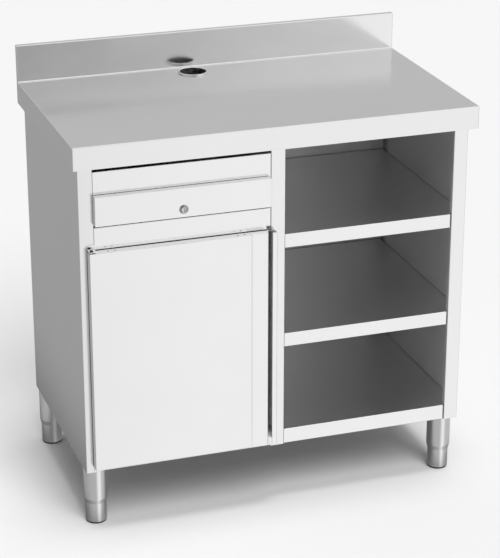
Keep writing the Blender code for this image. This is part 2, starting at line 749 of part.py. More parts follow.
def build_runner_support():
    """Channel on the left side panel that brings the left runner clear of the stile."""
    wall = CAB_LEFT + SHEET + FIT
    high, low = RUNNER_MIDDLE + RUNNER_HEIGHT / 2, RUNNER_MIDDLE - RUNNER_HEIGHT / 2
    face = [(wall, high), (BAY_LEFT, high), (BAY_LEFT, low), (wall, low)]
    mesh = prism(folded_outline(face, -1), "Y", BEHIND_STILES, RUNNER_BACK)
    add_part("left_runner_support", mesh, "zinc", (wall, BEHIND_STILES, RUNNER_MIDDLE))


def build_lock(slide, turn):
    """Cam lock: barrel and nut on the drawer, plug, cam and screw on the turning axis."""
    axis = (LOCK_X, LOCK_Z)
    front = DRAWER_FRONT - LOCK_BEZEL_RISE
    bezel_back = DRAWER_FRONT - FIT
    barrel, bezel = LOCK_BARREL_DIAMETER / 2, LOCK_BEZEL_DIAMETER / 2
    plug = LOCK_PLUG_DIAMETER / 2
    edge = LOCK_BEZEL_RISE / 4
    profile = [
        (plug + FIT, BARREL_BACK),
        (barrel, BARREL_BACK),
        (barrel, bezel_back),
        (bezel, bezel_back),
        (bezel, front + edge),
        (bezel - edge, front),
        (plug + FIT, front),
    ]
    mesh = along_y(turned(profile, SMALL_SIDES, closed=True), axis)
    add_part("lock_barrel", mesh, "chrome", (LOCK_X, DRAWER_FRONT, LOCK_Z), slide)

    profile = [(0.0, BARREL_BACK), (plug, BARREL_BACK), (plug, front), (0.0, front)]
    mesh = along_y(turned(profile, SMALL_SIDES), axis)
    key_low = (LOCK_X - KEYWAY_WIDTH / 2, front - CUT, LOCK_Z - KEYWAY_HEIGHT / 2)
    key_high = (LOCK_X + KEYWAY_WIDTH / 2, front + KEYWAY_DEPTH, LOCK_Z + KEYWAY_HEIGHT / 2)
    mesh = cut(mesh, boxes((key_low, key_high)))
    half = LOCK_TANG / 2
    tang_low = (LOCK_X - half, BARREL_BACK - CUT, LOCK_Z - half)
    tang_high = (LOCK_X + half, CAM_BACK, LOCK_Z + half)
    mesh = join(mesh, boxes((tang_low, tang_high)))
    add_part("lock_plug", mesh, "chrome", (LOCK_X, DRAWER_FRONT, LOCK_Z), turn)

    width = LOCK_CAM_WIDTH / 2
    corner = width / 2
    outline = rounded_outline([
        ((LOCK_X + width, LOCK_Z - width), corner),
        ((LOCK_X + width, LOCK_Z + width), corner),
        ((LOCK_X - CAM_REACH, LOCK_Z + width), corner),
        ((LOCK_X - CAM_REACH, LOCK_Z - width), corner),
    ])
    mesh = prism(outline, "Y", CAM_FRONT, CAM_BACK)
    hole = half + FIT
    hole_low = (LOCK_X - hole, CAM_FRONT - CUT, LOCK_Z - hole)
    hole_high = (LOCK_X + hole, CAM_BACK + CUT, LOCK_Z + hole)
    mesh = cut(mesh, boxes((hole_low, hole_high)))
    add_part("lock_cam", mesh, "zinc", (LOCK_X, CAM_FRONT, LOCK_Z), turn)

    head = LOCK_SCREW_DIAMETER / 2
    start = CAM_BACK + FIT
    end = start + LOCK_SCREW_HEAD
    profile = [(0.0, end), (head / 2, end), (head, start + LOCK_SCREW_HEAD / 2), (head, start), (0.0, start)]
    mesh = along_y(turned(profile, HOLE_SIDES), axis)
    add_part("lock_cam_screw", mesh, "zinc", (LOCK_X, start, LOCK_Z), turn)

    nut = LOCK_NUT_ACROSS_FLATS / math.sqrt(3.0)
    start = TRAY_FRONT + SHEET + FIT
    corners = [Vector((LOCK_X + nut * math.cos(a), LOCK_Z + nut * math.sin(a))) for a in hexagon_angles()]
    mesh = prism(corners, "Y", start, start + LOCK_NUT_THICKNESS)
    mesh = cut(mesh, lock_hole(start - CUT, start + LOCK_NUT_THICKNESS + CUT))
    add_part("lock_nut", mesh, "zinc", (LOCK_X, start, LOCK_Z), slide)


def hexagon_angles():
    """Directions of a hexagon's corners, with flats above and below."""
    return [step * math.pi / 3 for step in range(6)]


def build_door(swing):
    """Door of two skins with a folded handle profile along its right edge and a plug in each end of it."""
    low = (DOOR_LEFT, DOOR_FRONT, DOOR_BOTTOM)
    high = (SEAM_X, DOOR_SKIN_BACK, DOOR_TOP)
    origin = (PIVOT_X, PIVOT_Y, DOOR_BOTTOM)

    def at_front(first, second):
        along_seam = min(first.x, second.x) > SEAM_X - CUT
        return max(first.y, second.y) < DOOR_FRONT + CUT and not along_seam

    mesh = rounded_box(low, high, FRONT_EDGE, at_front)
    inside_low = tuple(value + SHEET for value in low)
    inside_high = (SEAM_X - SHEET, DOOR_SKIN_BACK + CUT, DOOR_TOP - SHEET)
    mesh = cut(mesh, boxes((inside_low, inside_high)))
    bush = BUSH_DIAMETER / 2 + FIT
    for level in (DOOR_TOP, DOOR_BOTTOM):
        mesh = cut(mesh, upright_rod((PIVOT_X, PIVOT_Y), bush, level - CUT, level + CUT, HOLE_SIDES))
    for middle in (DOOR_LEFT + VENT_PAIR_FROM_LEFT, SEAM_X - VENT_PAIR_FROM_SEAM):
        for x in (middle - VENT_PITCH / 2, middle + VENT_PITCH / 2):
            place = (x, (DOOR_FRONT + DOOR_BACK) / 2)
            vent = upright_rod(place, VENT_DIAMETER / 2, DOOR_TOP - CUT, DOOR_TOP + CUT, HOLE_SIDES)
            mesh = cut(mesh, vent)
    add_part("door_outer_skin", mesh, "brushed_steel", origin, swing)

    mesh = boxes(((DOOR_LEFT, DOOR_BACK - SHEET, DOOR_BOTTOM), (DOOR_RIGHT, DOOR_BACK, DOOR_TOP)))
    add_part("door_inner_skin", mesh, "brushed_steel", origin, swing)

    floor = DOOR_SKIN_BACK - SHEET
    inner = DOOR_RIGHT - SHEET
    behind = DOOR_FRONT + SHEET
    face = [
        (SEAM_X + HANDLE_SEAM, DOOR_FRONT),
        (SLOT_LEFT, DOOR_FRONT),
        (SLOT_LEFT, floor),
        (inner, floor),
        (inner, behind),
        (LIP_LEFT, behind),
    ]
    mesh = prism(folded_outline(face, 1, fold=TIGHT_FOLD), "Z", DOOR_BOTTOM, DOOR_TOP)
    add_part("door_handle_profile", mesh, "brushed_steel", origin, swing)

    plug_low = (SLOT_LEFT + FIT, DOOR_FRONT, DOOR_BOTTOM)
    plug_high = (LIP_LEFT - FIT, floor - TIGHT_FOLD, DOOR_BOTTOM + PLUG_HEIGHT)
    add_part("handle_end_plug", boxes((plug_low, plug_high)), "pale_plastic", plug_low, swing)

    plug_low = (SEAM_X + HANDLE_SEAM, behind + FIT, DOOR_TOP - PLUG_HEIGHT)
    plug_high = (SLOT_LEFT - SHEET - FIT, DOOR_SKIN_BACK, DOOR_TOP)
    add_part("handle_top_plug", boxes((plug_low, plug_high)), "pale_plastic", plug_low, swing)


def build_hinges(swing):
    """Pivot hinges at the top and bottom of the door: bracket and pin on the stile, bush in the door."""
    pin, head, bush = HINGE_PIN_DIAMETER / 2, HINGE_PIN_HEAD / 2, BUSH_DIAMETER / 2
    collar = BUSH_FLANGE_DIAMETER / 2
    back = CAB_FRONT - FIT
    left, right = BAY_LEFT - BRACKET_WIDTH, BAY_LEFT
    for name, level, up in (("upper", DOOR_TOP, 1), ("lower", DOOR_BOTTOM, -1)):
        seat = level + up * FIT
        tab = seat + up * (BUSH_FLANGE + FIT)
        face = [(back, tab + up * BRACKET_RISE), (back, tab), (back - BRACKET_REACH, tab)]
        mesh = prism(folded_outline(face, -up, BRACKET_SHEET), "X", left, right)
        tab_hole = upright_rod((PIVOT_X, PIVOT_Y), pin + FIT, tab - CUT, tab + CUT, HOLE_SIDES)
        mesh = cut(mesh, tab_hole)
        add_part(f"{name}_hinge_bracket", mesh, "brushed_steel", (left, back, tab))

        tab_end = tab + up * (BRACKET_SHEET + FIT)
        head_end = tab_end + up * HINGE_PIN_HEAD_RISE
        tip = level - up * HINGE_PIN_REACH
        profile = [
            (0.0, head_end),
            (head / 2, head_end),
            (head, (tab_end + head_end) / 2),
            (head, tab_end),
            (pin, tab_end),
            (pin, tip),
            (0.0, tip),
        ]
        mesh = turned(profile, HOLE_SIDES)
        mesh.transform(Matrix.Translation((PIVOT_X, PIVOT_Y, 0.0)))
        add_part(f"{name}_hinge_pin", mesh, "dark_steel", (PIVOT_X, PIVOT_Y, tab))

        flange = seat + up * BUSH_FLANGE
        end = level - up * BUSH_LENGTH
        profile = [
            (pin + FIT, flange),
            (collar, flange),
            (collar, seat),
            (bush, seat),
            (bush, end),
            (pin + FIT, end),
        ]
        mesh = turned(profile, HOLE_SIDES, closed=True)
        mesh.transform(Matrix.Translation((PIVOT_X, PIVOT_Y, 0.0)))
        add_part(f"{name}_hinge_bush", mesh, "nylon", (PIVOT_X, PIVOT_Y, level), swing)


def build_catch(swing):
    """Magnet on the partition and its keeper plate on the door."""
    high = DOOR_TOP - MAGNET_BELOW_DOOR_TOP
    low = high - MAGNET_HEIGHT
    right = PARTITION_LEFT - FIT
    left = right - MAGNET_WIDTH
    keeper_front = DOOR_BACK + FIT
    magnet_front = keeper_front + KEEPER_THICKNESS + FIT
    magnet = ((left, magnet_front, low), (right, magnet_front + MAGNET_DEPTH, high))
    add_part("door_magnet", boxes(magnet), "magnet", magnet[0])
    keeper = ((left, keeper_front, low), (right, keeper_front + KEEPER_THICKNESS, high))
    add_part("door_keeper", boxes(keeper), "zinc", (PIVOT_X, PIVOT_Y, low), swing)


def build_leg(corner, place):
    """Leg at one corner: plate and tube on the cabinet, foot and pad on the levelling axis."""
    x, y = place
    stud = STUD_DIAMETER / 2
    floor = CAB_BOTTOM + SHEET + FIT
    half = LEG_PLATE_WIDTH / 2
    plate = ((x - half, y - half, floor), (x + half, y + half, floor + LEG_PLATE_THICKNESS))
    add_part(f"{corner}_leg_plate", cut(boxes(plate), stud_hole(place)), "zinc", (x, y, floor))

    radius = LEG_DIAMETER / 2
    bore = radius - LEG_WALL
    top = CAB_BOTTOM - FIT
    rim = bore + LEG_WALL / 4
    profile = [
        (0.0, top + STUD_LENGTH),
        (stud, top + STUD_LENGTH),
        (stud, top),
        (radius, top),
        (radius, TUBE_BOTTOM + LEG_CHAMFER),
        (rim, TUBE_BOTTOM),
        (bore, TUBE_BOTTOM),
        (bore, top - LEG_TOP_PLATE),
        (0.0, top - LEG_TOP_PLATE),
    ]
    mesh = turned(profile, LEG_SIDES)
    mesh.transform(Matrix.Translation((x, y, 0.0)))
    add_part(f"{corner}_leg_tube", mesh, "turned_steel", (x, y, top))

    axis = add_axis(f"{corner}_levelling_axis", (x, y, 0.0))
    inside = FOOT_RADIUS - FOOT_WALL
    low = PAD_HEIGHT + FIT
    profile = [
        (0.0, low + FOOT_WALL),
        (inside, low + FOOT_WALL),
        (inside, FOOT_TOP),
        (FOOT_RADIUS, FOOT_TOP),
        (FOOT_RADIUS, low),
        (0.0, low),
    ]
    mesh = turned(profile, LEG_SIDES)
    mesh.transform(Matrix.Translation((x, y, 0.0)))
    add_part(f"{corner}_leg_foot", mesh, "turned_steel", (x, y, 0.0), axis)

    outside = FOOT_RADIUS - PAD_INSET
    mesh = upright_rod(place, outside, 0.0, PAD_HEIGHT, LEG_SIDES)
    add_part(f"{corner}_foot_pad", mesh, "black_plastic", (x, y, 0.0), axis)


def main():
    """Build the counter from the worktop down."""
    clear_scene()
    build_worktop()
    build_collar()
    build_stiffeners()
    build_side_panels()
    build_partition()
    build_back_panel()
    build_shelves()
    build_rails()
    slide = add_axis("drawer_slide_axis", (LOCK_X, DRAWER_BACK, RUNNER_MIDDLE))
    left_middle = add_axis("left_runner_axis", (RUNNER_FACE_LEFT, RUNNER_FRONT, RUNNER_MIDDLE))
    right_middle = add_axis("right_runner_axis", (RUNNER_FACE_RIGHT, RUNNER_FRONT, RUNNER_MIDDLE))
    turn = add_axis("lock_turn_axis", (LOCK_X, DRAWER_FRONT, LOCK_Z), slide)
    swing = add_axis("door_swing_axis", (PIVOT_X, PIVOT_Y, DOOR_BOTTOM))
    build_drawer(slide)
    build_runners(slide, left_middle, right_middle)
    build_runner_support()
    build_lock(slide, turn)
    build_door(swing)
    build_hinges(swing)
    build_catch(swing)
    for corner, place in LEG_PLACES.items():
        build_leg(corner, place)


main()
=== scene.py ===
"""Looks of a stainless steel coffee machine counter: finer pieces, finishes, studio and camera."""

import json
import logging
import math
from dataclasses import dataclass, field, replace
from enum import Enum
from typing import Callable, Optional, Union

import bmesh
import bpy
from mathutils import Matrix, Vector


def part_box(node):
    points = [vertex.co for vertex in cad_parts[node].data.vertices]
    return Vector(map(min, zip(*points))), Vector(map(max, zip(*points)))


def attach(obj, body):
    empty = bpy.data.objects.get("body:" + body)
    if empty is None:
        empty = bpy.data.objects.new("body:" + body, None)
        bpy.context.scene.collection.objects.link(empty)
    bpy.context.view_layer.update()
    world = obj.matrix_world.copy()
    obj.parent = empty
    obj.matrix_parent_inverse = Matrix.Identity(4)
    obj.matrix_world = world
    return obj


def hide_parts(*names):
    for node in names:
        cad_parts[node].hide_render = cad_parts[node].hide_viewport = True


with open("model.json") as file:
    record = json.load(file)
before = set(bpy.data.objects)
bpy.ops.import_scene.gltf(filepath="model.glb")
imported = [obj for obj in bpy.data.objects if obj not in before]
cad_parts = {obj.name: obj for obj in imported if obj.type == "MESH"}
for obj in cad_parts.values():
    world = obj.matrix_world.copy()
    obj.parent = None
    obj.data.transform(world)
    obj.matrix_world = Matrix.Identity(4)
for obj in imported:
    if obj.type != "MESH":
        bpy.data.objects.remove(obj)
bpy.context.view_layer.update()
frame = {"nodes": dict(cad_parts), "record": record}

LOG = logging.getLogger("counter")

Colour = tuple[float, float, float]
Number = Union["Value", float]
Feed = Union["Value", bpy.types.NodeSocket, float, tuple]

WELD = 1e-6
FLAT = math.radians(0.5)
CORNER = math.radians(50.0)
SMOOTH = math.radians(46.0)
WEAR = "wear"
WEAR_WIDTH = 0.0016
EDGE_STEPS = 2
SIDES = ("left", "right")
MIX_FACTOR, MIX_FIRST, MIX_SECOND, MIX_RESULT = 0, 6, 7, 2


class Value:
    """A number that changes over a surface, so that shader maths reads as plain arithmetic."""

    def __init__(self, graph: "Graph", socket: bpy.types.NodeSocket) -> None:
        """Wrap an output socket of a graph."""
        self.graph = graph
        self.socket = socket

    def __add__(self, other: Number) -> "Value":
        """Sum of this and another number."""
        return self.graph.maths("ADD", self, other)

    def __radd__(self, other: Number) -> "Value":
        """Sum of another number and this."""
        return self.graph.maths("ADD", other, self)

    def __sub__(self, other: Number) -> "Value":
        """This less another number."""
        return self.graph.maths("SUBTRACT", self, other)

    def __rsub__(self, other: Number) -> "Value":
        """Another number less this."""
        return self.graph.maths("SUBTRACT", other, self)

    def __mul__(self, other: Number) -> "Value":
        """Product of this and another number."""
        return self.graph.maths("MULTIPLY", self, other)

    def __rmul__(self, other: Number) -> "Value":
        """Product of another number and this."""
        return self.graph.maths("MULTIPLY", other, self)


class Graph:
    """The node tree of a material or of the world."""

    def __init__(self, tree: bpy.types.NodeTree) -> None:
        """Start from an empty tree."""
        tree.nodes.clear()
        self.tree = tree

    def node(
        self, kind: str, settings: Optional[dict] = None, sockets: Optional[dict] = None
    ) -> bpy.types.Node:
        """Add a node of any kind.

        Args:
            kind: Blender's name for the type of node.
            settings: properties of the node, set before its sockets.
            sockets: a value or a link for each input, by name or number.

        Returns:
            The new node.
        """
        node = self.tree.nodes.new(kind)
        for name, setting in (settings or {}).items():
            setattr(node, name, setting)
        for key, feed in (sockets or {}).items():
            self._feed(node.inputs[key], feed)
        return node

    def _feed(self, socket: bpy.types.NodeSocket, feed: Feed) -> None:
        """Link an input to what feeds it, or set its value.

        Args:
            socket: the input.
            feed: a value, an output socket, a number, or a colour or vector as a tuple.
        """
        if isinstance(feed, Value):
            feed = feed.socket
        if isinstance(feed, bpy.types.NodeSocket):
            self.tree.links.new(feed, socket)
        elif socket.type == "RGBA":
            socket.default_value = (*feed[:3], 1.0)
        else:
            socket.default_value = feed

    def maths(self, operation: str, first: Number, second: Number) -> Value:
        """Join two numbers with a Math node.

        Args:
            operation: the Math node's operation.
            first: left number.
            second: right number.

        Returns:
            The result as a value.
        """
        node = self.node("ShaderNodeMath", {"operation": operation}, {0: first, 1: second})
        return Value(self, node.outputs[0])

    def vector(self, operation: str, first: Feed, second: Feed) -> bpy.types.NodeSocket:
        """Join two vectors with a Vector Math node.

        Args:
            operation: the node's operation.
            first: left vector.
            second: right vector.

        Returns:
            The output socket of the vector.
        """
        node = self.node("ShaderNodeVectorMath", {"operation": operation}, {0: first, 1: second})
        return node.outputs["Vector"]

    def mix(self, factor: Number, first: Feed, second: Feed) -> bpy.types.NodeSocket:
        """Blend two colours.

        Args:
            factor: share of the second colour.
            first: first colour.
            second: second colour.

        Returns:
            The output socket of the colour.
        """
        sockets = {MIX_FACTOR: factor, MIX_FIRST: first, MIX_SECOND: second}
        return self.node("ShaderNodeMix", {"data_type": "RGBA"}, sockets).outputs[MIX_RESULT]

    def noise(self, place: Feed, scale: float, detail: float) -> Value:
        """Cloudy noise from 0 to 1.

        Args:
            place: coordinates that it is drawn in.
            scale: how many clouds there are to a unit.
            detail: how many finer layers lie on it.

        Returns:
            The noise as a value.
        """
        node = self.node("ShaderNodeTexNoise", {}, {"Vector": place, "Scale": scale, "Detail": detail})
        return Value(self, node.outputs["Fac"])

    def ramp(self, value: Value, low: float, high: float, start: float, end: float) -> Value:
        """Smooth step from one number to another.

        Args:
            value: what the step runs along.
            low: where it starts.
            high: where it ends.
            start: the result up to low.
            end: the result from high on.

        Returns:
            The result as a value.
        """
        sockets = {"Value": value, "From Min": low, "From Max": high, "To Min": start, "To Max": end}
        node = self.node("ShaderNodeMapRange", {"interpolation_type": "SMOOTHSTEP"}, sockets)
        return Value(self, node.outputs["Result"])

    def bump(self, strength: float, distance: float, height: Value) -> bpy.types.NodeSocket:
        """Raise a fine relief on the surface.

        Args:
            strength: how strongly the relief shows.
            distance: how high it is.
            height: its pattern, from 0 to 1.

        Returns:
            The output socket of the normal.
        """
        sockets = {"Strength": strength, "Distance": distance, "Height": height}
        return self.node("ShaderNodeBump", {}, sockets).outputs["Normal"]

    def surface(self, sockets: dict) -> None:
        """End the graph of a material in a Principled shader with these inputs."""
        shader = self.node("ShaderNodeBsdfPrincipled", {}, sockets)
        self.node("ShaderNodeOutputMaterial", {}, {"Surface": shader.outputs["BSDF"]})


def new_graph(name: str) -> tuple[bpy.types.Material, Graph]:
    """Start a material.

    Args:
        name: name of the material.

    Returns:
        The material and its empty graph.
    """
    material = bpy.data.materials.new(name)
    material.use_nodes = True
    return material, Graph(material.node_tree)


class Grain(Enum):
    """The way that a sheet was brushed."""

    ACROSS = (0, "across")
    DEEP = (1, "deep")
    UPRIGHT = (2, "upright")

    def stretch(self, along: float, across: float) -> tuple[float, ...]:
        """Scale of each axis that draws noise out into lines.

        Args:
            along: how many changes there are to a metre of a line.
            across: how many lines there are to a metre.

        Returns:
            The scales of X, Y and Z.
        """
        return tuple(along if axis == self.value[0] else across for axis in range(3))


@dataclass(frozen=True)
class Finish:
    """A surface: its colour and gloss, how much they vary, and how far its edges are rubbed."""

    name: str
    colour: Colour
    roughness: float
    tone: float = 0.05
    unevenness: float = 0.05
    edge_tone: float = 0.06
    edge_gloss: float = 0.05
    rubs: float = 70.0
    rub_detail: float = 2.0
    rub_spread: tuple[float, float] = (0.3, 0.7)
    rub_range: tuple[float, float] = (0.3, 1.0)
    metallic: float = 1.0

    def material(self) -> bpy.types.Material:
        """Draw the finish.

        Returns:
            The material.
        """
        raise NotImplementedError

    def shade(self, share: float) -> Colour:
        """The colour made lighter by a share of itself, or darker where it is negative."""
        red, green, blue = (min(1.0, part * (1.0 + share)) for part in self.colour)
        return red, green, blue

    def gloss(self, graph: Graph, place: bpy.types.NodeSocket) -> Number:
        """Mean roughness, which a finish can vary over the piece."""
        return self.roughness

    def with_painted_shade(self, graph: Graph, place: bpy.types.NodeSocket, colour: Feed) -> Feed:
        """Colour with painted shade, which a finish can add."""
        return colour

    def complete(
        self, graph: Graph, place: bpy.types.NodeSocket, blend: Value, normal: bpy.types.NodeSocket
    ) -> None:
        """End a graph with colour and gloss that vary with a blend and with the wear along the edges.

        Args:
            graph: the graph.
            place: coordinates on the piece.
            blend: what the colour and gloss vary with, from 0 to 1.
            normal: the normal with its relief.
        """
        edge = Value(graph, graph.node("ShaderNodeAttribute", {"attribute_name": WEAR}).outputs["Fac"])
        rubs = graph.noise(place, self.rubs, self.rub_detail)
        rub = edge * graph.ramp(rubs, *self.rub_spread, *self.rub_range)
        varied = graph.mix(blend, self.shade(-self.tone), self.shade(self.tone))
        uneven = (blend - 0.5) * (2.0 * self.unevenness)
        graph.surface({
            # A finish may paint shade into the colour here. The lined panel darkens its rear corner and a
            # line below each shelf seam.
            "Base Color": self.with_painted_shade(graph, place, graph.mix(rub, varied, self.shade(self.edge_tone))),
            "Metallic": self.metallic,
            "Roughness": uneven - rub * self.edge_gloss + self.gloss(graph, place),
            "Normal": normal,
        })


@dataclass(frozen=True)
class SatinSteel(Finish):
    """Stainless sheet with a fine brushed grain and a soft, slightly uneven gloss."""

    grain: Grain = Grain.ACROSS
    lines: float = 900.0
    line_length: float = 0.12
    line_detail: float = 3.0
    line_share: float = 0.5
    clouds: float = 7.0
    cloud_detail: float = 2.0
    relief: float = 0.03
    line_height: float = 0.00004

    def material(self) -> bpy.types.Material:
        """Draw the finish.

        Returns:
            The material.
        """
        material, graph = new_graph(f"{self.name}_{self.grain.value[1]}")
        place = graph.node("ShaderNodeTexCoord").outputs["Object"]
        drawn = graph.vector("MULTIPLY", place, self.grain.stretch(1.0 / self.line_length, self.lines))
        lines = graph.noise(drawn, 1.0, self.line_detail)
        clouds = graph.noise(place, self.clouds, self.cloud_detail)
        blend = lines * self.line_share + clouds * (1.0 - self.line_share)
        self.complete(graph, place, blend, graph.bump(self.relief, self.line_height, lines))
        return material


@dataclass(frozen=True)
class LinedSteel(SatinSteel):
    """Satin sheet that is duller inside the counter, with painted shade along seams and in the rear corner.

    Places are measured inwards from the front, the outer face and the rear of the right side panel.
    """

    lining: float = 0.4
    front: tuple[float, float] = (0.0005, 0.0015)
    outside: tuple[float, float] = (0.0003, 0.0009)
    # Painted shade: where the rear corner darkens, how dark it and the seam lines are painted, and the colour
    # they darken towards.
    corner: tuple[float, float] = (0.0055, 0.0575)
    corner_end: tuple[float, float] = (0.0015, 0.003)
    corner_shade: float = 0.0
    seams: tuple[float, ...] = ()
    seam_drop: float = 0.0008
    seam_width: tuple[float, float] = (0.0008, 0.0016)
    seam_shade: float = 0.5
    painted_shade_colour: Colour = (0.08, 0.08, 0.08)

    def inner(self, graph: Graph, place: bpy.types.NodeSocket) -> tuple[Value, Value, Value]:
        """Find where a face lies inside the counter.

        Args:
            graph: the graph.
            place: coordinates on the piece.

        Returns:
            Share of inner face from 0 to 1, then the way to the rear and the height.
        """
        low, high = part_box("right_side_panel")
        parts = graph.node("ShaderNodeSeparateXYZ", {}, {"Vector": place})
        right, depth, height = (Value(graph, parts.outputs[axis]) for axis in "XYZ")
        share = graph.ramp(depth - low.y, *self.front, 0.0, 1.0)
        share = share * graph.ramp(high.x - right, *self.outside, 0.0, 1.0)
        return share, high.y - depth, height

    def gloss(self, graph: Graph, place: bpy.types.NodeSocket) -> Number:
        """Mean roughness, which is higher on the inner faces."""
        share, _, _ = self.inner(graph, place)
        return share * (self.lining - self.roughness) + self.roughness

    def with_painted_shade(self, graph: Graph, place: bpy.types.NodeSocket, colour: Feed) -> Feed:
        """Paint shade into a colour along the seams and in the rear corner.

        Args:
            graph: the graph.
            place: coordinates on the piece.
            colour: the colour without painted shade.

        Returns:
            The colour with its painted shade.
        """
        share, rear, height = self.inner(graph, place)
        # Painted shade: darker towards the rear corner, and in a narrow line just below each seam.
        painted_shade_share = graph.ramp(rear, *self.corner, self.corner_shade, 0.0)
        painted_shade_share = painted_shade_share * graph.ramp(rear, *self.corner_end, 0.0, 1.0)
        for seam in self.seams:
            off = graph.maths("ABSOLUTE", height - (seam - self.seam_drop), 0.0)
            painted_shade_share = painted_shade_share + graph.ramp(off, *self.seam_width, self.seam_shade, 0.0)
        return graph.mix(painted_shade_share * share, colour, self.painted_shade_colour)


@dataclass(frozen=True)
class PlatedSteel(Finish):
    """Plated or blackened steel with faint clouds in its colour and gloss."""

    clouds: float = 60.0
    cloud_detail: float = 4.0
    relief: float = 0.03
    cloud_height: float = 0.00004

    def material(self) -> bpy.types.Material:
        """Draw the finish.

        Returns:
            The material.
        """
        material, graph = new_graph(self.name)
        place = graph.node("ShaderNodeTexCoord").outputs["Object"]
        clouds = graph.noise(place, self.clouds, self.cloud_detail)
        self.complete(graph, place, clouds, graph.bump(self.relief, self.cloud_height, clouds))
        return material


@dataclass(frozen=True)
class MouldedPlastic(Finish):
    """Plastic with the fine pits of its mould."""

    metallic: float = 0.0
    pits: float = 2200.0
    pit_detail: float = 2.0
    relief: float = 0.15
    pit_depth: float = 0.00008

    def material(self) -> bpy.types.Material:
        """Draw the finish.

        Returns:
            The material.
        """
        material, graph = new_graph(self.name)
        place = graph.node("ShaderNodeTexCoord").outputs["Object"]
        pits = graph.noise(place, self.pits, self.pit_detail)
        self.complete(graph, place, pits, graph.bump(self.relief, self.pit_depth, pits))
        return material


STEEL = (0.80, 0.80, 0.803)
PALE_SHEET = (0.825, 0.825, 0.828)
PALE_SHELF = (0.85, 0.85, 0.853)
SHELF_TOPS = tuple(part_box(f"{level}_shelf")[1].z for level in ("lower", "middle", "upper"))
STEEL_ACROSS = SatinSteel("satin_steel", STEEL, 0.15)
STEEL_DEEP = replace(STEEL_ACROSS, grain=Grain.DEEP)
FRONT_ACROSS = SatinSteel("front_steel", PALE_SHEET, 0.16)
FRONT_UPRIGHT = replace(FRONT_ACROSS, grain=Grain.UPRIGHT)
PANEL_STEEL = SatinSteel("panel_steel", STEEL, 0.2, unevenness=0.03, grain=Grain.UPRIGHT)
PARTITION_STEEL = LinedSteel(
    "partition_steel", PALE_SHEET, 0.2, unevenness=0.03, grain=Grain.UPRIGHT, lining=0.7
)
# The lined right panel gets painted shade in its rear corner and along the shelf tops.
SHADED_LINED_PANEL = replace(PARTITION_STEEL, name="lined_panel_painted_shade", corner_shade=0.6, seams=SHELF_TOPS)
BACK_STEEL = SatinSteel("panel_steel", PALE_SHEET, 0.47, unevenness=0.03)
SHELF_STEEL = LinedSteel("shelf_steel", PALE_SHELF, 0.22)
TUBE_STEEL = SatinSteel("drawn_tube", STEEL, 0.22, grain=Grain.UPRIGHT, lines=1400.0)
ZINC = PlatedSteel("zinc_plate", (0.60, 0.61, 0.62), 0.36, tone=0.10, unevenness=0.08)
CHROME = PlatedSteel("chrome_plate", (0.72, 0.72, 0.73), 0.14, tone=0.03, unevenness=0.03, clouds=120.0)
DARK_NICKEL = PlatedSteel("dark_nickel", (0.44, 0.44, 0.45), 0.14, tone=0.06, unevenness=0.04, clouds=120.0)
DARK_STEEL = PlatedSteel("blackened_steel", (0.07, 0.07, 0.072), 0.40, tone=0.12, clouds=140.0)
PALE_PLASTIC = MouldedPlastic("pale_plastic", (0.84, 0.84, 0.83), 0.5, tone=0.02)
BLACK_NYLON = MouldedPlastic("black_nylon", (0.030, 0.030, 0.031), 0.5, tone=0.08)
BLACK_PLASTIC = MouldedPlastic("black_plastic", (0.022, 0.022, 0.024), 0.5, tone=0.08)
MAGNET_CASE = MouldedPlastic("magnet_case", (0.10, 0.10, 0.10), 0.55, tone=0.08)


class Make(Enum):
    """How a piece is made, which ends its name."""

    SHEET = "sheet"
    TURNED = "turned"
    MOULDED = "moulded"
    CUT = "cut"


def whole_copy(node: str) -> bmesh.types.BMesh:
    """Copy a node of the frame with its points welded and its flat faces made whole.

    Args:
        node: name of the node.

    Returns:
        The shape, to be edited.
    """
    shape = bmesh.new()
    shape.from_mesh(frame["nodes"][node].data)
    bmesh.ops.remove_doubles(shape, verts=shape.verts, dist=WELD)
    bmesh.ops.dissolve_limit(shape, angle_limit=FLAT, verts=shape.verts, edges=shape.edges)
    return shape


def round_edges(
    shape: bmesh.types.BMesh,
    radius: float,
    steps: int,
    chosen: Callable[[bmesh.types.BMEdge], bool],
    clamp: bool = True,
) -> None:
    """Round some edges of a shape.

    Args:
        shape: the shape.
        radius: how far the rounding starts from an edge.
        steps: how many strips it has.
        chosen: test that an edge passes to be rounded.
        clamp: stop where two roundings would meet.
    """
    edges = [edge for edge in shape.edges if edge.is_manifold and chosen(edge)]
    bmesh.ops.bevel(
        shape, geom=edges, offset=radius, segments=steps, profile=0.5, affect="EDGES", clamp_overlap=clamp
    )


def is_corner(edge: bmesh.types.BMEdge) -> bool:
    """Whether two faces meet at an edge in a clear corner."""
    return edge.calc_face_angle(0.0) > CORNER


def sheet_shape(node: str, edge: float) -> bmesh.types.BMesh:
    """Shape of a sheet piece: the node with its cut edges broken.

    Args:
        node: name of the node.
        edge: size of the broken edges.

    Returns:
        The shape.
    """
    shape = whole_copy(node)
    round_edges(shape, edge, EDGE_STEPS, is_corner)
    return shape


def turned_shape(profile: list[tuple[float, float]], sides: int, closed: bool = False) -> bmesh.types.BMesh:
    """Turn a profile about Z.

    Args:
        profile: radius and height of each point.
        sides: how many sides the round has.
        closed: join the profile's ends, which makes a ring.

    Returns:
        The shape.
    """
    shape = bmesh.new()
    verts = [shape.verts.new((radius, 0.0, height)) for radius, height in profile]
    pairs = list(zip(verts, verts[1:]))
    if closed:
        pairs.append((verts[-1], verts[0]))
    edges = [shape.edges.new(pair) for pair in pairs]
    bmesh.ops.spin(
        shape, geom=verts + edges, cent=(0, 0, 0), axis=(0, 0, 1), angle=math.tau, steps=sides, use_merge=True
    )
    bmesh.ops.remove_doubles(shape, verts=shape.verts, dist=WELD)
    bmesh.ops.recalc_face_normals(shape, faces=shape.faces)
    return shape


